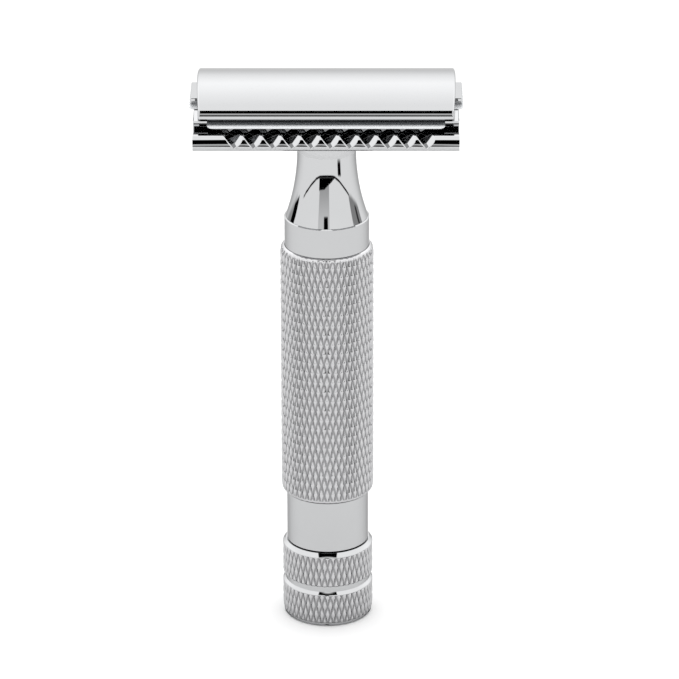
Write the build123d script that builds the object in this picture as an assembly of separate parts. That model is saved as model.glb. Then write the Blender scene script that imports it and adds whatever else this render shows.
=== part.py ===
from build123d import *
import math
import os

# Double-edge safety razor with a fixed guard, a loose cap and a twist knob.
# It stands on its knob: +Z runs up the handle and the blade's edges run along X.

# Handle heights
NECK_BOTTOM = 62.0
KNOB_LOWER_TOP = 6.15
KNOB_UPPER_BOTTOM = 7.2
KNOB_UPPER_TOP = 12.5
KNOB_TOP = 13.1
TUBE_BOTTOM = 13.2
GRIP_BOTTOM = 22.0
GRIP_TOP = 64.9
COLLAR_TOP = 69.8
FLARE_TOP = 80.9
PLATE_BOTTOM = 85.2

# Handle radii
KNOB_R = 7.35
KNOB_GROOVE_R = 6.9
TUBE_R = 6.65
COLLAR_R = 6.8
TUBE_BORE_R = 5.2
GRIP_R = 7.5
SHOULDER_R = 6.58
NECK_R = 4.7
NECK_BORE_R = 4.1
EDGE_BREAK = 0.6
TUBE_EDGE_BREAK = 0.15
KNOB_BASE_ROUND = 0.9
KNOB_LOWER_BREAK = 0.45

# Blade
BLADE_LENGTH = 43.0
BLADE_WIDTH = 22.0
BLADE_THICKNESS = 0.1
BLADE_EDGE_LENGTH = 37.2
BLADE_TAB_WIDTH = 11.0
BLADE_TOP = 90.1
BLADE_BEND_R = 39.0
BLADE_PIN_SPACING = 24.0
BLADE_CORNER_R = 0.9
BLADE_HOLE_R = 3.1
BLADE_SLOT_LENGTH = 31.6
BLADE_SLOT_WIDTH = 3.2
CLAMP_GAP = 0.03

# Guard plate
PLATE_HALF_LENGTH = 20.7
BAR_HALF_LENGTH = 20.8
BAR_FRONT = 12.8
BAR_BACK = 11.0
BAR_TOP = 87.6
CHANNEL_FLOOR = 86.45
CHANNEL_BACK = 8.9
CHANNEL_FRONT = 10.35
NOTCH_COUNT = 11
NOTCH_PITCH = 3.0
NOTCH_WIDTH = 2.1
NOTCH_SKEW = 22.0
NOTCH_FALL = 20.0
NOTCH_REACH = 0.8
NOTCH_LENGTH = 4.0
NOTCH_EDGE_ROUND = 0.2
NOTCHED_HALF_LENGTH = 17.4
CREST_WIDTH = 0.7
CREST_FALL = 0.06
NOSE_BULGE = 0.22
NOSE_DROP = 1.45
CHIN_IN = 0.6
CHIN_BULGE = 0.16
CHIN_RISE = 0.3
POCKET_LENGTH = 33.0
POCKET_WIDTH = 12.0
POCKET_FLOOR = 88.9
SPIGOT_HEIGHT = 1.6
SPIGOT_LEDGE = 0.4

# Cap: a shallow dome, a tighter rim round it and an undercut down to the blade
CAP_ARC_R = 18.2
CAP_HALF_WIDTH = 9.65
CAP_HALF_LENGTH = 20.35
CAP_END_R = 120.0
CAP_EDGE_ROUND = 0.3
RIM_R = 1.8
RIM_HEIGHT = 89.95
RIM_START = 60.0
RIM_BAND = 0.45
UNDERCUT_IN = 0.9
UNDERCUT_DOWN = 1.1
LUG_HALF_LENGTH = 21.4
LUG_HALF_WIDTH = 3.7
LUG_CORNER_R = 0.2
LUG_EDGE_ROUND = 0.12
LUG_TOP = 90.87

# Heights and lengths that only have to reach past the head
HEAD_LOW = 80.0
HEAD_HIGH = 100.0
PAST_END = 30.0
TINY = 0.0001

# Drive train inside the handle
RUN = 0.05
STUD_R = 2.5
STUD_BOTTOM = 75.2
STUD_TOP = 91.3
STUD_LEAD = 0.5
PIN_BOTTOM = 85.9
PIN_TOP = 91.1
PIN_LEAD = 0.4
STUD_SLACK = 0.4
PIN_SLACK = 0.15
SOCKET_R = 3.5
SOCKET_BOTTOM = 71.6
SOCKET_TOP = 84.9
SOCKET_FLOOR = 74.9
BUSH_LENGTH = 5.0
ROD_R = 2.0
ROD_BOTTOM = 3.2
PIN_R = 1.3
CROSS_PIN_R = 0.6
CROSS_PIN_SHORT = 0.15
SOCKET_LEAD = 0.3
FLOOR_WALL = 0.4
SCREW_HEAD_R = 2.9
SCREW_HEAD_BOTTOM = 0.5
SCREW_SEAT_TOP = 2.2
SCREW_SHANK_R = 1.0
SCREW_SLOT_WIDTH = 0.8
SCREW_SLOT_DEPTH = 0.7
SCREW_REACH = 8.7
FOOT_BUSH_TOP = 20.0
FOOT_BUSH_INSET = 0.4
CLIP_BOTTOM = 21.2
CLIP_TOP = 21.8
CLIP_R = 3.4
CLIP_GAP = 2.0
GROOVE_DEPTH = 0.4
SPRING_WASHER_R = 3.6
SPRING_WASHER_T = 1.0
THRUST_WASHER_R = 4.6
THRUST_WASHER_T = 0.45


def ring(outer_r, inner_r, bottom, top):
    """A plain round tube between two heights."""
    tube = Pos(0, 0, bottom) * extrude(Circle(outer_r) - Circle(inner_r), top - bottom)
    return tube


def rod(radius, bottom, top, x=0):
    """A plain round bar standing on end."""
    return Pos(x, 0, bottom) * extrude(Circle(radius), top - bottom)


def turned(points):
    """A body of revolution from (radius, height) corners."""
    profile = Plane.XZ * make_face(Polyline(*points, close=True))
    return revolve(profile, Axis.Z)


def along_x(profile, half_length):
    """A (y, z) face stretched equally to both sides along X."""
    return extrude(Plane.YZ * profile, half_length, both=True)


def both_ends(make):
    """The same feature at +Y and, turned half round, at -Y."""
    return make + Rot(0, 0, 180) * make


# Cap, stud and locating pins


def arc_height(arc_r, crown, y):
    """Height of a downward-curving arc at a distance from its crown line."""
    return crown - arc_r + math.sqrt(arc_r ** 2 - y ** 2)


def under_arc(half_width, arc_r, crown, depth):
    """A (y, z) face with an arched top and a flat bottom."""
    side = arc_height(arc_r, crown, half_width)
    floor = crown - depth
    arch = ThreePointArc((-half_width, side), (0, crown), (half_width, side))
    rest = Polyline((half_width, side), (half_width, floor), (-half_width, floor), (-half_width, side))
    return make_face(arch + rest)


def cap_outline():
    """Plan of the cap: straight sides and slightly bowed ends."""
    end_x = CAP_HALF_LENGTH - (CAP_END_R - math.sqrt(CAP_END_R ** 2 - CAP_HALF_WIDTH ** 2))
    left = ThreePointArc((-end_x, CAP_HALF_WIDTH), (-CAP_HALF_LENGTH, 0), (-end_x, -CAP_HALF_WIDTH))
    right = ThreePointArc((end_x, -CAP_HALF_WIDTH), (CAP_HALF_LENGTH, 0), (end_x, CAP_HALF_WIDTH))
    front = Line((-end_x, -CAP_HALF_WIDTH), (end_x, -CAP_HALF_WIDTH))
    back = Line((end_x, CAP_HALF_WIDTH), (-end_x, CAP_HALF_WIDTH))
    return make_face(left + front + right + back)


def rim_point(degrees):
    """A (y, z) point on the rim's round, by its angle from upright."""
    angle = math.radians(degrees)
    return CAP_HALF_WIDTH - RIM_R + RIM_R * math.sin(angle), RIM_HEIGHT + RIM_R * math.cos(angle)


def opposite(point):
    """The same (y, z) point on the -Y side."""
    return -point[0], point[1]


def cap_section():
    """Section of the cap as (y, z), the same at the front and the back."""
    start = rim_point(RIM_START)
    middle = rim_point((RIM_START + 90) / 2)
    widest = rim_point(90)
    crown = (0, start[1] + CAP_ARC_R - math.sqrt(CAP_ARC_R ** 2 - start[0] ** 2))
    band_foot = (CAP_HALF_WIDTH, RIM_HEIGHT - RIM_BAND)
    seat = (CAP_HALF_WIDTH - UNDERCUT_IN, RIM_HEIGHT - RIM_BAND - UNDERCUT_DOWN)
    floor = (seat[0], HEAD_LOW)
    dome = ThreePointArc(opposite(start), crown, start)
    right_rim = ThreePointArc(start, middle, widest)
    left_rim = ThreePointArc(opposite(widest), opposite(middle), opposite(start))
    right_side = [widest, band_foot, seat, floor]
    left_side = [opposite(point) for point in reversed(right_side)]
    return make_face(dome + right_rim + Polyline(*right_side, *left_side) + left_rim)


def blade_clearance():
    """Everything below the clamped blade's upper arc, raised by the clamping gap."""
    arch = under_arc(BAR_FRONT, BLADE_BEND_R, BLADE_TOP + CLAMP_GAP, BLADE_TOP - HEAD_LOW + 1)
    return along_x(arch, PAST_END)


def make_cap_plate():
    outline = Pos(0, 0, HEAD_LOW) * extrude(cap_outline(), HEAD_HIGH - HEAD_LOW)
    body = along_x(cap_section(), PAST_END) & outline
    upper_edges = body.edges().filter_by_position(Axis.Z, RIM_HEIGHT - UNDERCUT_DOWN, HEAD_HIGH)
    end_edges = upper_edges.filter_by(lambda edge: abs(edge.center().X) > CAP_HALF_WIDTH)
    body = fillet(end_edges, CAP_EDGE_ROUND)
    lug_section = RectangleRounded(2 * LUG_HALF_LENGTH, 2 * LUG_HALF_WIDTH, LUG_CORNER_R)
    lugs = Pos(0, 0, RIM_HEIGHT - 2) * extrude(lug_section, LUG_TOP - RIM_HEIGHT + 2)
    lugs = fillet(lugs.edges().group_by(Axis.Z)[-1], LUG_EDGE_ROUND)
    body = body + lugs - blade_clearance()
    stud_seat = rod(STUD_R, HEAD_LOW, STUD_TOP)
    pin_seats = [rod(PIN_R, HEAD_LOW, PIN_TOP, x) for x in pin_places()]
    return body - stud_seat - pin_seats


def pin_places():
    return [-BLADE_PIN_SPACING / 2, BLADE_PIN_SPACING / 2]


def make_cap_stud():
    stud = rod(STUD_R, STUD_BOTTOM, STUD_TOP)
    return chamfer(stud.edges().group_by(Axis.Z)[0], STUD_LEAD)


def make_locating_pins():
    pins = [rod(PIN_R, PIN_BOTTOM, PIN_TOP, x) for x in pin_places()]
    return Compound([chamfer(pin.edges().group_by(Axis.Z)[0], PIN_LEAD) for pin in pins])


# Blade


def make_razor_blade():
    edge_part = RectangleRounded(BLADE_EDGE_LENGTH, BLADE_WIDTH, BLADE_CORNER_R)
    tabs = RectangleRounded(BLADE_LENGTH, BLADE_TAB_WIDTH, BLADE_CORNER_R)
    slot = SlotOverall(BLADE_SLOT_LENGTH, BLADE_SLOT_WIDTH)
    outline = edge_part + tabs - Circle(BLADE_HOLE_R) - slot
    sheet = Pos(0, 0, HEAD_LOW) * extrude(outline, HEAD_HIGH - HEAD_LOW)
    inner_r = BLADE_BEND_R - BLADE_THICKNESS
    axis_height = BLADE_TOP - BLADE_BEND_R
    shell = along_x(Pos(0, axis_height) * (Circle(BLADE_BEND_R) - Circle(inner_r)), PAST_END)
    return sheet & shell


# Guard plate


def guard_profile():
    """Half section of the plate and one bar, as (y, z), for y >= 0."""
    ridge = arc_height(BLADE_BEND_R, BLADE_TOP, CHANNEL_BACK) - BLADE_THICKNESS - CLAMP_GAP
    crest_end = (BAR_BACK + CREST_WIDTH, BAR_TOP - CREST_FALL)
    nose_mid = (BAR_FRONT - NOSE_BULGE, BAR_TOP - NOSE_DROP / 2)
    nose_low = (BAR_FRONT, BAR_TOP - NOSE_DROP)
    chin_mid = (BAR_FRONT - CHIN_BULGE, PLATE_BOTTOM + CHIN_RISE)
    chin_low = (BAR_FRONT - CHIN_IN, PLATE_BOTTOM)
    top = Polyline(
        (0, PLATE_BOTTOM),
        (0, ridge),
        (CHANNEL_BACK, ridge),
        (CHANNEL_BACK, CHANNEL_FLOOR),
        (CHANNEL_FRONT, CHANNEL_FLOOR),
        (BAR_BACK, BAR_TOP),
        crest_end,
    )
    nose = ThreePointArc(crest_end, nose_mid, nose_low)
    chin = ThreePointArc(nose_low, chin_mid, chin_low)
    base = Line(chin_low, (0, PLATE_BOTTOM))
    return make_face(top + nose + chin + base)


def notch_cutter(x):
    """One skewed V notch over the +Y bar, falling towards its nose."""
    depth = NOTCH_WIDTH / 2
    wide = depth + NOTCH_REACH
    triangle = make_face(Polyline((0, -depth), (wide, NOTCH_REACH), (-wide, NOTCH_REACH), close=True))
    prism = extrude(triangle, NOTCH_LENGTH, both=True)
    tilt = Rot(0, 0, NOTCH_SKEW) * Rot(90 - NOTCH_FALL, 0, 0)
    return Pos(x, BAR_BACK, BAR_TOP) * tilt * prism


def blade_support():
    """The arched crown that the blade is bent over."""
    crest = BLADE_TOP - BLADE_THICKNESS - CLAMP_GAP
    arch = under_arc(CHANNEL_BACK, BLADE_BEND_R, crest, crest - PLATE_BOTTOM)
    return along_x(arch, PLATE_HALF_LENGTH)


def is_notch_rim(edge):
    """True for an edge where a notch breaks the bar's outside, but not for its root."""
    centre = edge.center()
    size = edge.bounding_box().size
    on_bar = abs(centre.Y) > CHANNEL_FRONT and centre.Z > PLATE_BOTTOM + CHIN_RISE
    between_ends = abs(centre.X) < NOTCHED_HALF_LENGTH
    lengthways = size.Y < TINY and size.Z < TINY
    root_rise = math.sin(math.radians(NOTCH_FALL))
    is_root = edge.geom_type == GeomType.LINE and abs(abs(edge.tangent_at(0.5).Z) - root_rise) < TINY
    return on_bar and between_ends and not lengthways and not is_root


def make_guard_plate():
    body = both_ends(along_x(guard_profile(), BAR_HALF_LENGTH)) + blade_support()
    pocket_section = RectangleRounded(POCKET_LENGTH, POCKET_WIDTH, 1)
    body = body - Pos(0, 0, POCKET_FLOOR) * extrude(pocket_section, HEAD_HIGH - POCKET_FLOOR)
    first = -NOTCH_PITCH * (NOTCH_COUNT - 1) / 2
    for index in range(NOTCH_COUNT):
        cutter = notch_cutter(first + index * NOTCH_PITCH)
        body = body - cutter - Rot(0, 0, 180) * cutter
    body = fillet(body.edges().filter_by(is_notch_rim), NOTCH_EDGE_ROUND)
    spigot_hole = rod(NECK_BORE_R + SPIGOT_LEDGE, HEAD_LOW, PLATE_BOTTOM + SPIGOT_HEIGHT)
    stud_hole = rod(STUD_R + STUD_SLACK, HEAD_LOW, HEAD_HIGH)
    pin_holes = [rod(PIN_R + PIN_SLACK, HEAD_LOW, HEAD_HIGH, x) for x in pin_places()]
    return body - spigot_hole - stud_hole - pin_holes


# Neck, tube, grip and bushes


def make_neck():
    spigot_r = NECK_BORE_R + SPIGOT_LEDGE
    outer = make_face(
        Line((NECK_BORE_R, NECK_BOTTOM), (TUBE_BORE_R, NECK_BOTTOM))
        + Line((TUBE_BORE_R, NECK_BOTTOM), (TUBE_BORE_R, COLLAR_TOP))
        + Line((TUBE_BORE_R, COLLAR_TOP), (SHOULDER_R, COLLAR_TOP))
        + flare_arc()
        + Polyline(
            (NECK_R, FLARE_TOP),
            (NECK_R, PLATE_BOTTOM),
            (spigot_r, PLATE_BOTTOM),
            (spigot_r, PLATE_BOTTOM + SPIGOT_HEIGHT),
            (NECK_BORE_R, PLATE_BOTTOM + SPIGOT_HEIGHT),
            (NECK_BORE_R, NECK_BOTTOM),
        )
    )
    return revolve(Plane.XZ * outer, Axis.Z)


def flare_arc():
    """The neck's concave side, upright where it meets the straight part."""
    rise = FLARE_TOP - COLLAR_TOP
    spread = SHOULDER_R - NECK_R
    radius = (rise ** 2 + spread ** 2) / (2 * spread)
    centre_r = NECK_R + radius
    middle = math.asin(rise / radius) / 2
    midpoint = (centre_r - radius * math.cos(middle), FLARE_TOP - radius * math.sin(middle))
    return ThreePointArc((SHOULDER_R, COLLAR_TOP), midpoint, (NECK_R, FLARE_TOP))


def make_handle_tube():
    tube = ring(TUBE_R, TUBE_BORE_R, TUBE_BOTTOM, COLLAR_TOP)
    tube = tube + ring(COLLAR_R, TUBE_BORE_R, GRIP_TOP, COLLAR_TOP)
    levels = tube.edges().group_by(Axis.Z)
    ends = [levels[0].sort_by(SortBy.RADIUS)[-1], levels[-1].sort_by(SortBy.RADIUS)[-1]]
    return chamfer(ends, TUBE_EDGE_BREAK)


def make_grip_sleeve():
    sleeve = ring(GRIP_R, TUBE_R, GRIP_BOTTOM, GRIP_TOP)
    ends = sleeve.edges().filter_by(GeomType.CIRCLE).sort_by(SortBy.RADIUS)[-2:]
    return chamfer(ends, EDGE_BREAK)


def make_neck_bush():
    return ring(NECK_BORE_R, SOCKET_R + RUN, SOCKET_TOP - BUSH_LENGTH, SOCKET_TOP)


def make_foot_bush():
    return ring(TUBE_BORE_R, ROD_R + RUN, TUBE_BOTTOM + FOOT_BUSH_INSET, FOOT_BUSH_TOP)


# Drive: rod, socket, knob and what holds them


def make_drive_rod():
    body = rod(ROD_R, ROD_BOTTOM, SOCKET_FLOOR - FLOOR_WALL)
    screw_hole = rod(SCREW_SHANK_R, ROD_BOTTOM, SCREW_REACH + 0.5)
    clip_groove = ring(ROD_R, ROD_R - GROOVE_DEPTH, CLIP_BOTTOM, CLIP_TOP)
    return body - make_socket_pin() - screw_hole - clip_groove


def make_socket_pin():
    """The cross pin that holds the socket on the rod."""
    height = (SOCKET_BOTTOM + SOCKET_FLOOR - FLOOR_WALL) / 2
    bar = extrude(Plane.YZ * Circle(CROSS_PIN_R), SOCKET_R - CROSS_PIN_SHORT, both=True)
    return Pos(0, 0, height) * bar


def make_threaded_socket():
    body = rod(SOCKET_R, SOCKET_BOTTOM, SOCKET_TOP)
    body = chamfer(body.edges().group_by(Axis.Z)[-1], SOCKET_LEAD)
    stud_bore = rod(STUD_R + RUN, SOCKET_FLOOR, SOCKET_TOP)
    rod_bore = rod(ROD_R, SOCKET_BOTTOM, SOCKET_FLOOR - FLOOR_WALL)
    return body - stud_bore - rod_bore - make_socket_pin()


def make_knob():
    body = turned([
        (0, 0),
        (KNOB_R, 0),
        (KNOB_R, KNOB_LOWER_TOP - KNOB_LOWER_BREAK),
        (KNOB_R - KNOB_LOWER_BREAK, KNOB_LOWER_TOP),
        (KNOB_GROOVE_R, KNOB_LOWER_TOP),
        (KNOB_GROOVE_R, KNOB_UPPER_BOTTOM),
        (KNOB_R, KNOB_UPPER_BOTTOM),
        (KNOB_R, KNOB_UPPER_TOP),
        (TUBE_R, KNOB_TOP),
        (0, KNOB_TOP),
    ])
    body = fillet(body.edges().group_by(Axis.Z)[0], KNOB_BASE_ROUND)
    screw_seat = rod(SCREW_HEAD_R, 0, SCREW_SEAT_TOP)
    screw_hole = rod(SCREW_SHANK_R, 0, ROD_BOTTOM)
    rod_hole = rod(ROD_R, ROD_BOTTOM, KNOB_TOP)
    return body - screw_seat - screw_hole - rod_hole


def make_knob_screw():
    head = rod(SCREW_HEAD_R - 0.2, SCREW_HEAD_BOTTOM, SCREW_SEAT_TOP)
    shank = rod(SCREW_SHANK_R, SCREW_SEAT_TOP, SCREW_REACH)
    slot = Pos(0, 0, SCREW_HEAD_BOTTOM) * Box(2 * SCREW_HEAD_R, SCREW_SLOT_WIDTH, 2 * SCREW_SLOT_DEPTH)
    return head + shank - slot


def make_thrust_washer():
    return ring(THRUST_WASHER_R, ROD_R, KNOB_TOP, KNOB_TOP + THRUST_WASHER_T)


def make_spring_washer():
    return ring(SPRING_WASHER_R, ROD_R + 0.3, FOOT_BUSH_TOP, FOOT_BUSH_TOP + SPRING_WASHER_T)


def make_retaining_ring():
    clip = ring(CLIP_R, ROD_R - GROOVE_DEPTH, CLIP_BOTTOM, CLIP_TOP)
    mouth = Pos(0, CLIP_R, CLIP_BOTTOM) * Box(CLIP_GAP, 2 * CLIP_R, 2 * (CLIP_TOP - CLIP_BOTTOM))
    return clip - mouth


NODES = {
    "cap_plate": make_cap_plate,
    "cap_stud": make_cap_stud,
    "locating_pins": make_locating_pins,
    "razor_blade": make_razor_blade,
    "guard_plate": make_guard_plate,
    "neck": make_neck,
    "handle_tube": make_handle_tube,
    "grip_sleeve": make_grip_sleeve,
    "neck_bush": make_neck_bush,
    "foot_bush": make_foot_bush,
    "spring_washer": make_spring_washer,
    "drive_rod": make_drive_rod,
    "threaded_socket": make_threaded_socket,
    "socket_pin": make_socket_pin,
    "knob": make_knob,
    "knob_screw": make_knob_screw,
    "thrust_washer": make_thrust_washer,
    "retaining_ring": make_retaining_ring,
}

os.makedirs("parts", exist_ok=True)
for node, make in NODES.items():
    export_step(make(), f"parts/{node}.step")
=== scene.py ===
import math

import bpy
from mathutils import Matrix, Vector


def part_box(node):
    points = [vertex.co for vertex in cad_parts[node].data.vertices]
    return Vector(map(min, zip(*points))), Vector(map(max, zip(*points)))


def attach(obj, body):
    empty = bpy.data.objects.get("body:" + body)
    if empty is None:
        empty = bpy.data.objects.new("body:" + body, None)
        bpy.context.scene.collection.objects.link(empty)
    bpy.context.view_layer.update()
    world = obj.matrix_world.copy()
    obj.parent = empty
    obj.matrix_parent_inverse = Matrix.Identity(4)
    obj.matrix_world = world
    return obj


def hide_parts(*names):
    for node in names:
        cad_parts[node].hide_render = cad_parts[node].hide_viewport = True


# Looks for a double-edge safety razor: bright chrome outside, turned steel and brass inside.

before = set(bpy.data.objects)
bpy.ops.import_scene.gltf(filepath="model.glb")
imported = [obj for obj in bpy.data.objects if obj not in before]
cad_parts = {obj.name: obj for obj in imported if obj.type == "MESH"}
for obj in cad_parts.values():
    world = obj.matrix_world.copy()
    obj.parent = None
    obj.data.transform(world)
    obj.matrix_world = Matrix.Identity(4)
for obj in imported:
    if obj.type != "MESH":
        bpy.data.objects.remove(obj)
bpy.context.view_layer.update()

MM = 0.001
FULL_TURN = 2 * math.pi
IN_DEGREES = 180 / math.pi


# Wiring of node trees


class Wire:
    """One output socket that can be used in ordinary arithmetic."""

    def __init__(self, bench, socket):
        self.bench = bench
        self.socket = socket

    def _math(self, operation, first, second=None):
        inputs = {0: first}
        if second is not None:
            inputs[1] = second
        return self.bench.node("ShaderNodeMath", {"operation": operation}, inputs)

    def __add__(self, other):
        return self._math("ADD", self, other)

    def __radd__(self, other):
        return self._math("ADD", other, self)

    def __sub__(self, other):
        return self._math("SUBTRACT", self, other)

    def __rsub__(self, other):
        return self._math("SUBTRACT", other, self)

    def __mul__(self, other):
        return self._math("MULTIPLY", self, other)

    def __rmul__(self, other):
        return self._math("MULTIPLY", other, self)

    def __truediv__(self, other):
        return self._math("DIVIDE", self, other)

    def __gt__(self, other):
        return self._math("GREATER_THAN", self, other)

    def __lt__(self, other):
        return self._math("LESS_THAN", self, other)

    def __pow__(self, other):
        return self._math("POWER", self, other)

    def __abs__(self):
        return self._math("ABSOLUTE", self)

    def least(self, other):
        return self._math("MINIMUM", self, other)

    def most(self, other):
        return self._math("MAXIMUM", self, other)

    def sine(self):
        return self._math("SINE", self)

    def cosine(self):
        return self._math("COSINE", self)

    def nearest(self):
        return self._math("ROUND", self)

    def fraction(self):
        return self._math("FRACT", self)

    def smooth_between(self, low, high):
        """0 below low, 1 above high, eased in between."""
        settings = {"interpolation_type": "SMOOTHSTEP"}
        inputs = {"Value": self, "From Min": low, "From Max": high}
        return self.bench.node("ShaderNodeMapRange", settings, inputs)


class Bench:
    """Adds nodes to one tree."""

    def __init__(self, tree):
        self.tree = tree

    def node(self, kind, settings=None, inputs=None, output=0):
        made = self.tree.nodes.new(kind)
        for name, value in (settings or {}).items():
            if name == "stops":
                self._set_stops(made.color_ramp, value)
            else:
                setattr(made, name, value)
        for name, value in (inputs or {}).items():
            self.feed(made.inputs[name], value)
        return Wire(self, made.outputs[output]) if made.outputs else made

    def feed(self, socket, value):
        if isinstance(value, Wire):
            self.tree.links.new(value.socket, socket)
        else:
            socket.default_value = value

    def _set_stops(self, ramp, stops):
        while len(ramp.elements) > 1:
            ramp.elements.remove(ramp.elements[-1])
        ramp.elements[0].position, ramp.elements[0].color = stops[0]
        for place, colour in stops[1:]:
            ramp.elements.new(place).color = colour

    def split(self, vector):
        """The x, y and z of a vector."""
        first = self.node("ShaderNodeSeparateXYZ", inputs={0: vector})
        sockets = first.socket.node.outputs
        return [Wire(self, sockets[axis]) for axis in range(3)]


# Finishes


def grey(value):
    """An opaque colour with three equal parts."""
    return (value, value, value, 1.0)


EDGE_TINT = grey(0.5)
GRAIN_HEIGHT = 2e-6
NOISE_DETAIL = 3.0
RING_PITCH = 0.12 * MM


def new_finish(name):
    """An empty material, its bench and the place on the object, in metres."""
    material = bpy.data.materials.new(name)
    material.use_nodes = True
    material.node_tree.nodes.clear()
    bench = Bench(material.node_tree)
    place = bench.node("ShaderNodeTexCoord", output=3)
    return material, bench, place


def close_finish(bench, **inputs):
    """Gives a shader with these inputs to the material's output."""
    shader = bench.node("ShaderNodeBsdfPrincipled", inputs=inputs)
    bench.node("ShaderNodeOutputMaterial", inputs={"Surface": shader})


def speckle(bench, place, scale, stretch=(1, 1, 1)):
    """Fine noise between 0 and 1, stretched along the axes."""
    squeezed = bench.node("ShaderNodeMapping", inputs={"Vector": place, "Scale": stretch})
    inputs = {"Vector": squeezed, "Scale": scale, "Detail": NOISE_DETAIL}
    return bench.node("ShaderNodeTexNoise", inputs=inputs)


def mixed(bench, factor, dark, light):
    """The dark colour where factor is 0 and the light one where it is 1."""
    settings = {"data_type": "RGBA"}
    inputs = {0: factor, 6: dark, 7: light}
    return bench.node("ShaderNodeMix", settings, inputs, output=2)


def raised(bench, height, distance):
    """The normal of a surface lifted by height times distance, in metres."""
    inputs = {"Height": height, "Distance": distance, "Strength": 1.0}
    return bench.node("ShaderNodeBump", inputs=inputs)


def mirror_chrome():
    """Polished chrome plate with a very faint plating ripple and a few wiping marks."""
    material, bench, place = new_finish("mirror_chrome")
    ripple = speckle(bench, place, 160.0)
    wiping = speckle(bench, place, 900.0, stretch=(0.15, 1, 1))
    colour = mixed(bench, ripple, (0.456, 0.460, 0.466, 1), (0.472, 0.476, 0.482, 1))
    close_finish(
        bench,
        **{
            "Base Color": colour,
            "Metallic": 1.0,
            "Specular Tint": EDGE_TINT,
            "Roughness": 0.02 + wiping * 0.025,
            "Normal": raised(bench, ripple, GRAIN_HEIGHT),
        },
    )
    return material


def knurled_chrome_groove_shade(outer, depth, bottom, top, chamfer):
    """Chrome with painted shade in its cut grooves, which are darker in colour and a little
    rougher than the diamonds and the end rings.
    """
    material, bench, place = new_finish("knurled_chrome_groove_shade")
    x, y, z = bench.split(place)
    radius = (x * x + y * y) ** 0.5
    crest = ((radius - (outer - depth)) / depth).smooth_between(0.0, 0.7)
    end_ring = (z > top - chamfer).most(z < bottom + chamfer)
    bright = crest.most(end_ring)
    grain = speckle(bench, place, 1400.0)
    # Painted shade: the grooves, where crest and end ring are 0, get a darker colour than the
    # crests and end rings.
    colour = mixed(bench, bright, (0.24, 0.24, 0.245, 1), (0.51, 0.51, 0.518, 1))
    close_finish(
        bench,
        **{
            "Base Color": colour,
            "Metallic": 1.0,
            "Specular Tint": EDGE_TINT,
            "Roughness": 0.07 - bright * 0.04 + grain * 0.02,
            "Normal": raised(bench, grain, GRAIN_HEIGHT),
        },
    )
    return material


def ground_blade_steel(edge, bevel, tab_start):
    """Stainless strip: lengthways grinding lines, honed bevels, and end tabs with a painted sheen
    that makes them bright.
    """
    bevel_start = edge - bevel
    bevel_slope = 0.12
    material, bench, place = new_finish("ground_blade_steel")
    x, y, z = bench.split(place)
    honed = abs(y).smooth_between(bevel_start, bevel_start + 0.05 * MM)
    lines = speckle(bench, place, 5000.0, stretch=(0.02, 1, 1))
    tab = abs(x).smooth_between(tab_start, tab_start + 0.1 * MM)
    bright = honed.most(tab)
    # The honed bevels' lighter colour is their own finish; on the end tabs the lighter colour is
    # painted sheen.
    colour = mixed(bench, bright, (0.26, 0.27, 0.28, 1), (0.58, 0.59, 0.60, 1))
    fall = (abs(y) - bevel_start).most(0.0) * -bevel_slope
    close_finish(
        bench,
        **{
            "Base Color": colour,
            "Metallic": 1.0,
            "Roughness": 0.16 + lines * 0.1 + honed * 0.06 + tab * 0.25,
            "Normal": raised(bench, fall + lines * 1e-6, 1.0),
        },
    )
    return material


def turned_metal(name, dark, light, roughness):
    """Lathe-turned metal: fine rings round Z over a mottled colour."""
    material, bench, place = new_finish(name)
    x, y, z = bench.split(place)
    rings = (z * (FULL_TURN / RING_PITCH)).sine() * 0.5 + 0.5
    mottle = speckle(bench, place, 700.0)
    close_finish(
        bench,
        **{
            "Base Color": mixed(bench, mottle, dark, light),
            "Metallic": 1.0,
            "Roughness": roughness + rings * 0.08 + mottle * 0.08,
            "Normal": raised(bench, rings, GRAIN_HEIGHT),
        },
    )
    return material


def natural_nylon():
    """Off-white nylon with a slight mottle."""
    material, bench, place = new_finish("natural_nylon")
    mottle = speckle(bench, place, 1200.0)
    close_finish(
        bench,
        **{
            "Base Color": mixed(bench, mottle, (0.74, 0.72, 0.64, 1), (0.84, 0.82, 0.75, 1)),
            "Roughness": 0.42 + mottle * 0.12,
            "Normal": raised(bench, mottle, 8e-6),
        },
    )
    return material


def paper_white():
    """Matt white of the surface that the razor stands on."""
    material, bench, place = new_finish("paper_white")
    tooth = speckle(bench, place, 40.0)
    close_finish(
        bench,
        **{
            "Base Color": mixed(bench, tooth, grey(0.81), grey(0.82)),
            "Roughness": 0.9,
            "Specular IOR Level": 0.0,
        },
    )
    return material


# Surfaces that repeat, made by geometry nodes

FLOAT = "NodeSocketFloat"
INTEGER = "NodeSocketInt"
MATERIAL = "NodeSocketMaterial"
WELD_DISTANCE = 1e-7
# Where a diamond's flat starts, as a share of the way from one groove to the next
LAND_START = 0.4


def geometry_tree(name, inputs):
    """An empty tree with named inputs, its bench and {input name: wire}."""
    tree = bpy.data.node_groups.new(name, "GeometryNodeTree")
    for title, kind in inputs:
        tree.interface.new_socket(title, in_out="INPUT", socket_type=kind)
    tree.interface.new_socket("Geometry", in_out="OUTPUT", socket_type="NodeSocketGeometry")
    bench = Bench(tree)
    entry = tree.nodes.new("NodeGroupInput")
    wires = {title: Wire(bench, entry.outputs[title]) for title, kind in inputs}
    return tree, bench, wires


def lattice(bench, around, rows):
    """A flat grid, with the column and row number of each of its points."""
    grid = bench.node(
        "GeometryNodeMeshGrid",
        inputs={"Size X": 1.0, "Size Y": 1.0, "Vertices X": around + 1, "Vertices Y": rows + 1},
    )
    x, y, z = bench.split(bench.node("GeometryNodeInputPosition"))
    return grid, ((x + 0.5) * around).nearest(), ((y + 0.5) * rows).nearest()


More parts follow.
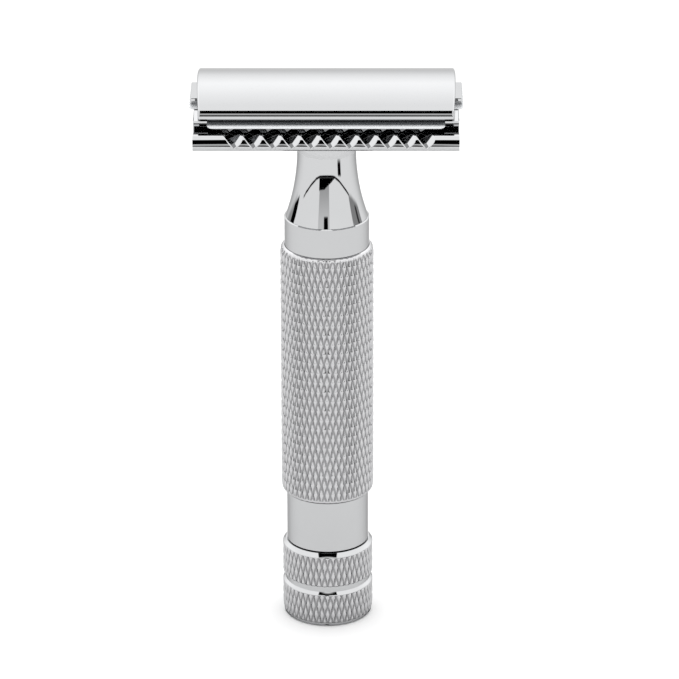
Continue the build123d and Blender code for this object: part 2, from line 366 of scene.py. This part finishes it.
def wrapped_round(bench, mesh, radius, angle, level):
    """The mesh with its points placed round Z and its meeting edges welded."""
    ring = {"X": radius * angle.sine(), "Y": radius * angle.cosine() * -1, "Z": level}
    position = bench.node("ShaderNodeCombineXYZ", inputs=ring)
    wrapped = bench.node(
        "GeometryNodeSetPosition", inputs={"Geometry": mesh, "Position": position}
    )
    return bench.node(
        "GeometryNodeMergeByDistance", inputs={"Geometry": wrapped, "Distance": WELD_DISTANCE}
    )


def close_tree(bench, geometry, material, smooth):
    """Shades and paints the geometry and gives it to the tree's output."""
    shaded = bench.node(
        "GeometryNodeSetShadeSmooth", inputs={"Geometry": geometry, "Shade Smooth": smooth}
    )
    real = bench.node("GeometryNodeRealizeInstances", inputs={"Geometry": shaded})
    painted = bench.node(
        "GeometryNodeSetMaterial", inputs={"Geometry": real, "Material": material}
    )
    bench.node("NodeGroupOutput", inputs={"Geometry": painted})


SLEEVE_INPUTS = [
    ("Outer Radius", FLOAT),
    ("Inner Radius", FLOAT),
    ("Groove Depth", FLOAT),
    ("Bottom", FLOAT),
    ("Top", FLOAT),
    ("Bottom Chamfer", FLOAT),
    ("Top Chamfer", FLOAT),
    ("Starts", INTEGER),
    ("Steps", INTEGER),
    ("Rows", INTEGER),
    ("Material", MATERIAL),
]


def knurled_sleeve_tree():
    """A ring whose outside carries diamonds between two crossed sets of helical grooves.

    Each row of the grid is turned half a step from the last, so that both sets of grooves
    lie on edges. Two more rows at each end close the ends and the bore.
    """
    tree, bench, given = geometry_tree("knurled_sleeve", SLEEVE_INPUTS)
    closing_rows = 2
    around = given["Starts"] * given["Steps"]
    rows = given["Rows"] + 2 * closing_rows
    grid, column, grid_row = lattice(bench, around, rows)
    split = bench.node("GeometryNodeTriangulate", {"quad_method": "FIXED"}, {"Mesh": grid})
    row = grid_row - closing_rows
    kept_row = row.most(0.0).least(given["Rows"])
    share = kept_row / given["Rows"]
    height = given["Top"] - given["Bottom"]
    lift = share * height
    angle = (column * 2 - row) * math.pi / around

    first_set = column / given["Steps"]
    second_set = (column - row) / given["Steps"]
    first_gap = abs(first_set - first_set.nearest())
    second_gap = abs(second_set - second_set.nearest())
    land = first_gap.least(second_gap).smooth_between(0.0, LAND_START)
    knurl = given["Outer Radius"] - given["Groove Depth"] * (1 - land)
    low_cone = given["Outer Radius"] - (given["Bottom Chamfer"] - lift)
    high_cone = given["Outer Radius"] - (given["Top Chamfer"] - (height - lift))
    skin = knurl.least(low_cone).least(high_cone)
    closing = abs(row - kept_row)
    on_bore = closing > 0.5
    at_middle = closing > 1.5
    radius = skin * (1 - on_bore) + given["Inner Radius"] * on_bore
    level = given["Bottom"] + lift * (1 - at_middle) + height * 0.5 * at_middle
    sleeve = wrapped_round(bench, split, radius, angle, level)
    close_tree(bench, sleeve, given["Material"], True)
    return tree


THREAD_INPUTS = [
    ("Radius", FLOAT),
    ("Depth", FLOAT),
    ("Pitch", FLOAT),
    ("Bottom", FLOAT),
    ("Top", FLOAT),
    ("Thread Top", FLOAT),
    ("Around", INTEGER),
    ("Rows", INTEGER),
    ("Material", MATERIAL),
]


def threaded_rod_tree():
    """A solid bar with a helical V thread on its lower part and flat closed ends."""
    tree, bench, given = geometry_tree("threaded_rod", THREAD_INPUTS)
    around = given["Around"]
    rows = given["Rows"] + 2
    grid, column, grid_row = lattice(bench, around, rows)
    row = grid_row - 1
    kept_row = row.most(0.0).least(given["Rows"])
    share = kept_row / given["Rows"]
    level = given["Bottom"] + share * (given["Top"] - given["Bottom"])
    turn = column / around
    winding = (level / given["Pitch"] - turn).fraction()
    groove = 1 - abs(winding - 0.5) * 2
    threaded = level < given["Thread Top"]
    skin = given["Radius"] - given["Depth"] * groove * threaded
    outside = 1 - abs(row - kept_row)
    radius = skin * outside
    rod = wrapped_round(bench, grid, radius, turn * FULL_TURN, level)
    close_tree(bench, rod, given["Material"], False)
    return tree


def grown(name, tree, values):
    """The plain mesh object that a geometry tree gives for these inputs."""
    seed = bpy.data.objects.new(name + "_seed", bpy.data.meshes.new(name + "_seed"))
    bpy.context.scene.collection.objects.link(seed)
    modifier = seed.modifiers.new("grow", "NODES")
    modifier.node_group = tree
    for item in tree.interface.items_tree:
        if item.item_type == "SOCKET" and item.in_out == "INPUT":
            modifier[item.identifier] = values[item.name]
    bpy.context.view_layer.update()
    evaluated = seed.evaluated_get(bpy.context.evaluated_depsgraph_get())
    mesh = bpy.data.meshes.new_from_object(evaluated)
    mesh.name = name
    seed.modifiers.clear()
    bpy.data.objects.remove(seed)
    piece = bpy.data.objects.new(name, mesh)
    bpy.context.scene.collection.objects.link(piece)
    return piece


LATHE_SIDES = 192
LATHE_SHARP_ANGLE = math.radians(25)
CORNER_STEPS = 8


def turned_piece(name, profile, finish):
    """A ring lathed round Z from a closed (radius, height) outline, sharp only at corners."""
    count = len(profile)
    points = []
    for step in range(LATHE_SIDES):
        angle = FULL_TURN * step / LATHE_SIDES
        points += [(r * math.sin(angle), -r * math.cos(angle), z) for r, z in profile]
    faces = []
    for step in range(LATHE_SIDES):
        here = step * count
        there = (step + 1) % LATHE_SIDES * count
        for index in range(count):
            after = (index + 1) % count
            faces.append((here + index, there + index, there + after, here + after))
    mesh = bpy.data.meshes.new(name)
    mesh.from_pydata(points, [], faces)
    mesh.materials.append(finish)
    mesh.shade_smooth()
    mesh.set_sharp_from_angle(angle=LATHE_SHARP_ANGLE)
    piece = bpy.data.objects.new(name, mesh)
    bpy.context.scene.collection.objects.link(piece)
    return piece


def corner_round(centre_r, centre_z, radius, start, end):
    """Points on a round between two angles in degrees, 0 outwards and 90 up."""
    points = []
    for step in range(CORNER_STEPS + 1):
        angle = math.radians(start + (end - start) * step / CORNER_STEPS)
        points.append((centre_r + radius * math.cos(angle), centre_z + radius * math.sin(angle)))
    return points


# Pieces


def set_finish(node, material):
    """Gives every slot of a CAD node this material."""
    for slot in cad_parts[node].material_slots:
        slot.material = material


# Knurl: starts round the handle, size of the diamonds, and grid steps from start to start
KNURL_STARTS = 47
DIAMOND_HEIGHT = 3.3 * MM
GROOVE_DEPTH = 0.28 * MM
LATTICE_STEPS = 8
GRIP_CHAMFER = 0.6 * MM

# Knob: lower band, waist and upper band by height, then radii, breaks and the holes inside.
# A tangent is how far a round's centre lies below its corner, as a share of its radius.
KNOB_LOWER_BOTTOM = 0.35 * MM
KNOB_LOWER_TOP = 5.6 * MM
WAIST_BOTTOM = 6.15 * MM
WAIST_TOP = 7.2 * MM
KNOB_UPPER_TOP = 12.35 * MM
KNOB_BAND_BORE = 6.8 * MM
KNOB_CORE_RADIUS = 7.02 * MM
WAIST_RADIUS = 6.9 * MM
KNOB_BREAK = 0.45 * MM
KNOB_BASE_CHAMFER = 0.5 * MM
WAIST_CHAMFER = 0.12 * MM
BASE_ROUND = 0.9 * MM
BASE_FLAT_RADIUS = 6.5 * MM
EDGE_ROUND = 0.2 * MM
LOWER_TANGENT = 0.41
TOP_BREAK = 0.6 * MM
TOP_BREAK_NORMAL = 51.3
TOP_TANGENT = 0.48
ROD_HOLE_RADIUS = 2.0 * MM
ROD_HOLE_BOTTOM = 3.2 * MM
SCREW_HOLE_RADIUS = 1.0 * MM
SCREW_SEAT_RADIUS = 2.9 * MM
SCREW_SEAT_HEIGHT = 2.2 * MM

# Cap stud
THREAD_DEPTH = 0.42 * MM
THREAD_PITCH = 0.8 * MM
THREAD_TOP = 85.0 * MM
THREAD_SIDES = 72
THREAD_ROWS = 160

# Blade
BEVEL_WIDTH = 0.8 * MM
TAB_START = 19.0 * MM


def knurled_band(name, tree, finish, outer, inner, bottom, top, low_chamfer, high_chamfer):
    """A knurled ring between two heights, with its own end chamfers."""
    rows = 2 * round((top - bottom) / DIAMOND_HEIGHT * LATTICE_STEPS)
    return grown(name, tree, {
        "Outer Radius": outer,
        "Inner Radius": inner,
        "Groove Depth": GROOVE_DEPTH,
        "Bottom": bottom,
        "Top": top,
        "Bottom Chamfer": low_chamfer,
        "Top Chamfer": high_chamfer,
        "Starts": KNURL_STARTS,
        "Steps": LATTICE_STEPS,
        "Rows": rows,
        "Material": finish,
    })


def band_finish(outer, bottom, top, chamfer):
    """Knurled chrome with this knurl's depth; chamfer is the height of its end rings."""
    return knurled_chrome_groove_shade(outer, GROOVE_DEPTH, bottom, top, chamfer)


def knob_core(finish, outer, top, tube_radius):
    """The knob without its knurl: base, waist, polished breaks, rod hole and screw seat."""
    corner = outer - EDGE_ROUND
    lower_corner = WAIST_BOTTOM - KNOB_BREAK
    lower_round = lower_corner - LOWER_TANGENT * EDGE_ROUND
    upper_round = top - TOP_BREAK - TOP_TANGENT * EDGE_ROUND
    outline = [(SCREW_SEAT_RADIUS, SCREW_SEAT_HEIGHT), (SCREW_SEAT_RADIUS, 0)]
    outline += corner_round(BASE_FLAT_RADIUS, BASE_ROUND, BASE_ROUND, -90, -40)
    outline += [(KNOB_CORE_RADIUS, KNOB_LOWER_BOTTOM)]
    outline += [(KNOB_CORE_RADIUS, lower_corner - EDGE_ROUND)]
    outline += corner_round(corner, lower_round, EDGE_ROUND, 0, 45)
    outline += [(outer - KNOB_BREAK, WAIST_BOTTOM)]
    outline += [(WAIST_RADIUS, WAIST_BOTTOM), (WAIST_RADIUS, WAIST_TOP)]
    outline += [(KNOB_CORE_RADIUS, WAIST_TOP), (KNOB_CORE_RADIUS, KNOB_UPPER_TOP)]
    outline += corner_round(corner, upper_round, EDGE_ROUND, 0, TOP_BREAK_NORMAL)
    outline += [(tube_radius, top), (ROD_HOLE_RADIUS, top), (ROD_HOLE_RADIUS, ROD_HOLE_BOTTOM)]
    outline += [(SCREW_HOLE_RADIUS, ROD_HOLE_BOTTOM), (SCREW_HOLE_RADIUS, SCREW_SEAT_HEIGHT)]
    return turned_piece("knob_core", outline, finish)


chrome = mirror_chrome()
grip_low, grip_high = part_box("grip_sleeve")
tube_low, tube_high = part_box("handle_tube")
knob_low, knob_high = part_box("knob")
grip_radius = grip_high[0]
tube_radius = tube_high[0]
knob_radius = knob_high[0]
sleeve_tree = knurled_sleeve_tree()
grip_finish = band_finish(grip_radius, grip_low[2], grip_high[2], GRIP_CHAMFER)
grip = knurled_band(
    "grip_knurl", sleeve_tree, grip_finish, grip_radius, tube_radius,
    grip_low[2], grip_high[2], GRIP_CHAMFER, GRIP_CHAMFER,
)
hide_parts("grip_sleeve")
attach(grip, "handle")

core = knob_core(chrome, knob_radius, knob_high[2], tube_radius)
knob_finish = band_finish(knob_radius, 0.0, knob_high[2], 0.0)
lower_band = knurled_band(
    "knob_knurl_lower", sleeve_tree, knob_finish, knob_radius, KNOB_BAND_BORE,
    KNOB_LOWER_BOTTOM, KNOB_LOWER_TOP, KNOB_BASE_CHAMFER, 0.0,
)
upper_band = knurled_band(
    "knob_knurl_upper", sleeve_tree, knob_finish, knob_radius, KNOB_BAND_BORE,
    WAIST_TOP, KNOB_UPPER_TOP, WAIST_CHAMFER, 0.0,
)
for piece in (core, lower_band, upper_band):
    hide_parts("knob")
    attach(piece, "drive")

stud_low, stud_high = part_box("cap_stud")
stud = grown("threaded_stud", threaded_rod_tree(), {
    "Radius": stud_high[0],
    "Depth": THREAD_DEPTH,
    "Pitch": THREAD_PITCH,
    "Bottom": stud_low[2],
    "Top": stud_high[2],
    "Thread Top": THREAD_TOP,
    "Around": THREAD_SIDES,
    "Rows": THREAD_ROWS,
    "Material": chrome,
})
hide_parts("cap_stud")
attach(stud, "cap")

for node in ("cap_plate", "locating_pins", "guard_plate", "neck", "handle_tube"):
    set_finish(node, chrome)
blade_low, blade_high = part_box("razor_blade")
set_finish("razor_blade", ground_blade_steel(blade_high[1], BEVEL_WIDTH, TAB_START))
steel = turned_metal("turned_steel", (0.42, 0.42, 0.43, 1), (0.54, 0.54, 0.55, 1), 0.22)
spring = turned_metal("spring_steel", (0.20, 0.21, 0.24, 1), (0.32, 0.33, 0.36, 1), 0.28)
brass = turned_metal("turned_brass", (0.62, 0.44, 0.18, 1), (0.74, 0.56, 0.27, 1), 0.2)
for node in ("drive_rod", "socket_pin", "knob_screw"):
    set_finish(node, steel)
for node in ("spring_washer", "retaining_ring"):
    set_finish(node, spring)
for node in ("neck_bush", "foot_bush", "threaded_socket"):
    set_finish(node, brass)
set_finish("thrust_washer", natural_nylon())


# Studio

FLOOR_RADIUS = 0.22


def floor_disc(radius):
    """The round white surface that the razor stands on, which is no part of it."""
    bpy.ops.mesh.primitive_circle_add(vertices=128, radius=radius, fill_type="NGON")
    floor = bpy.context.active_object
    floor.name = "floor"
    floor.data.materials.append(paper_white())


def patch(bench, azimuth, elevation, west, east, low, high, soft):
    """1 inside a rectangle of sky, in degrees, with soft sides."""
    across = azimuth.smooth_between(west - soft, west + soft) * (
        1 - azimuth.smooth_between(east - soft, east + soft)
    )
    upright = elevation.smooth_between(low - soft, low + soft) * (
        1 - elevation.smooth_between(high - soft, high + soft)
    )
    return across * upright


# Brightness that the razor reflects, what is added high up, and the white that is seen
LIGHT = 1.42
TOP_LIGHT = 0.15
WHITE_SEEN = 1.1

# Brightness behind the razor, by elevation in degrees, and its highest value
BEHIND = [
    (-35, 0.55), (-21, 0.74), (-10, 1.0), (0, 1.2), (21, 1.45), (40, 1.5), (61, 1.25), (75, 1.12),
]
BRIGHTEST = 1.5

# Dark things round the razor: west and east side, low and high side and softness, in degrees
CAMERA_AND_STAND = (-8, 4, 10, 62, 1.0)
BOOM = (-34, 34, 52, 63, 1.5)
LEFT_FLAG = (-118, -102, -7, 4, 1.0)
LEFT_EDGE = (-140, -112, -8, 2, 3.0)
RIGHT_FLAG = (78, 112, -5, 7, 1.5)
RIGHT_EDGE = (96, 104, -4, 8, 2.0)
TOOL = (43, 55, -18.5, -12, 0.8)
BACKDROP = (-24, 8, -10, 16, 1.0)
LEFT_EDGE_DARKNESS = 0.6
RIGHT_FLAG_DARKNESS = 0.7
RIGHT_EDGE_DARKNESS = 0.95
BACKDROP_DARKNESS = 0.55
BACKDROP_FADE = 0.27

# The stand's foot leans in on its east side, by degrees sideways for each degree up
STAND_LOW = -11.2
STAND_HIGH = -4
STAND_WEST = -26
STAND_EAST = 34
STAND_LEAN = 6
STAND_SOFTNESS = 0.7

# The table's edge, level in front and rising to the sides
TABLE_LEVEL = -11.4
TABLE_RISE = 8


def studio_sky():
    """White surroundings with the few dark things of a small table-top studio."""
    world = bpy.data.worlds.new("studio")
    bpy.context.scene.world = world
    world.use_nodes = True
    world.node_tree.nodes.clear()
    bench = Bench(world.node_tree)
    toward = bench.node("ShaderNodeTexCoord", output=0)
    x, y, z = bench.split(toward)
    azimuth = bench.node("ShaderNodeMath", {"operation": "ARCTAN2"}, {0: x, 1: y * -1})
    azimuth = azimuth * IN_DEGREES
    elevation = bench.node("ShaderNodeMath", {"operation": "ARCSINE"}, {0: z}) * IN_DEGREES

    camera_and_stand = patch(bench, azimuth, elevation, *CAMERA_AND_STAND)
    boom = patch(bench, azimuth, elevation, *BOOM)
    leaning_side = STAND_EAST - (elevation - STAND_LOW) * STAND_LEAN
    stand = (STAND_WEST, leaning_side, STAND_LOW, STAND_HIGH, STAND_SOFTNESS)
    stand_base = patch(bench, azimuth, elevation, *stand)
    edge_rise = abs(azimuth).smooth_between(20, 100) * TABLE_RISE + TABLE_LEVEL
    table_edge = 1 - abs(elevation - edge_rise).smooth_between(0.4, 1.0)
    table_edge = table_edge * (1 - abs(azimuth).smooth_between(78, 86))
    left_flag = patch(bench, azimuth, elevation, *LEFT_FLAG)
    left_edge = patch(bench, azimuth, elevation, *LEFT_EDGE) * LEFT_EDGE_DARKNESS
    left_flag = left_flag.most(left_edge)
    right_flag = patch(bench, azimuth, elevation, *RIGHT_FLAG) * RIGHT_FLAG_DARKNESS
    right_edge = patch(bench, azimuth, elevation, *RIGHT_EDGE) * RIGHT_EDGE_DARKNESS
    right_flag = right_flag.most(right_edge)
    tool = patch(bench, azimuth, elevation, *TOOL)
    backdrop = patch(bench, azimuth, elevation, *BACKDROP)
    fade = elevation.smooth_between(-8, 14) * BACKDROP_FADE
    backdrop = backdrop * (BACKDROP_DARKNESS - fade)
    dark = camera_and_stand.most(boom).most(stand_base).most(table_edge).most(left_flag)
    dark = dark.most(right_flag).most(tool).most(backdrop)
    stops = [((rise + 90) / 180, grey(level / BRIGHTEST)) for rise, level in BEHIND]
    ramp = bench.node("ShaderNodeValToRGB", {"stops": stops}, {0: (elevation + 90) / 180})
    behind = abs(azimuth).smooth_between(90, 150)
    front_light = 1.0 + TOP_LIGHT * elevation.smooth_between(5, 40)
    light = front_light * (1 - behind) + ramp * BRIGHTEST * behind
    strength = light * LIGHT * (1 - dark)

    white = grey(1.0)
    seen = bench.node("ShaderNodeBackground", inputs={"Color": white, "Strength": WHITE_SEEN})
    reflected = bench.node("ShaderNodeBackground", inputs={"Color": white, "Strength": strength})
    from_camera = bench.node("ShaderNodeLightPath", output=0)
    both = bench.node("ShaderNodeMixShader", inputs={0: from_camera, 1: reflected, 2: seen})
    bench.node("ShaderNodeOutputWorld", inputs={"Surface": both})


CAMERA_ELEVATION = math.radians(23.0)
CAMERA_DISTANCE = 0.75
CAMERA_AIM = Vector((5.3, 0, 48.1)) * MM
LENS = 246.4
SENSOR_WIDTH = 36.0
SIDE_SHIFT = -0.0302


def place_camera():
    """A long lens, looking down on the upright razor from in front."""
    away = Vector((0, -math.cos(CAMERA_ELEVATION), math.sin(CAMERA_ELEVATION)))
    data = bpy.data.cameras.new("camera")
    data.lens = LENS
    data.sensor_width = SENSOR_WIDTH
    data.shift_x = SIDE_SHIFT
    data.clip_start = 0.01
    data.clip_end = 20
    camera = bpy.data.objects.new("camera", data)
    bpy.context.scene.collection.objects.link(camera)
    camera.location = CAMERA_AIM + away * CAMERA_DISTANCE
    camera.rotation_mode = "QUATERNION"
    camera.rotation_quaternion = (-away).to_track_quat("-Z", "Y")
    bpy.context.scene.camera = camera


floor_disc(FLOOR_RADIUS)
studio_sky()
place_camera()
bpy.context.scene.view_settings.view_transform = "Standard"
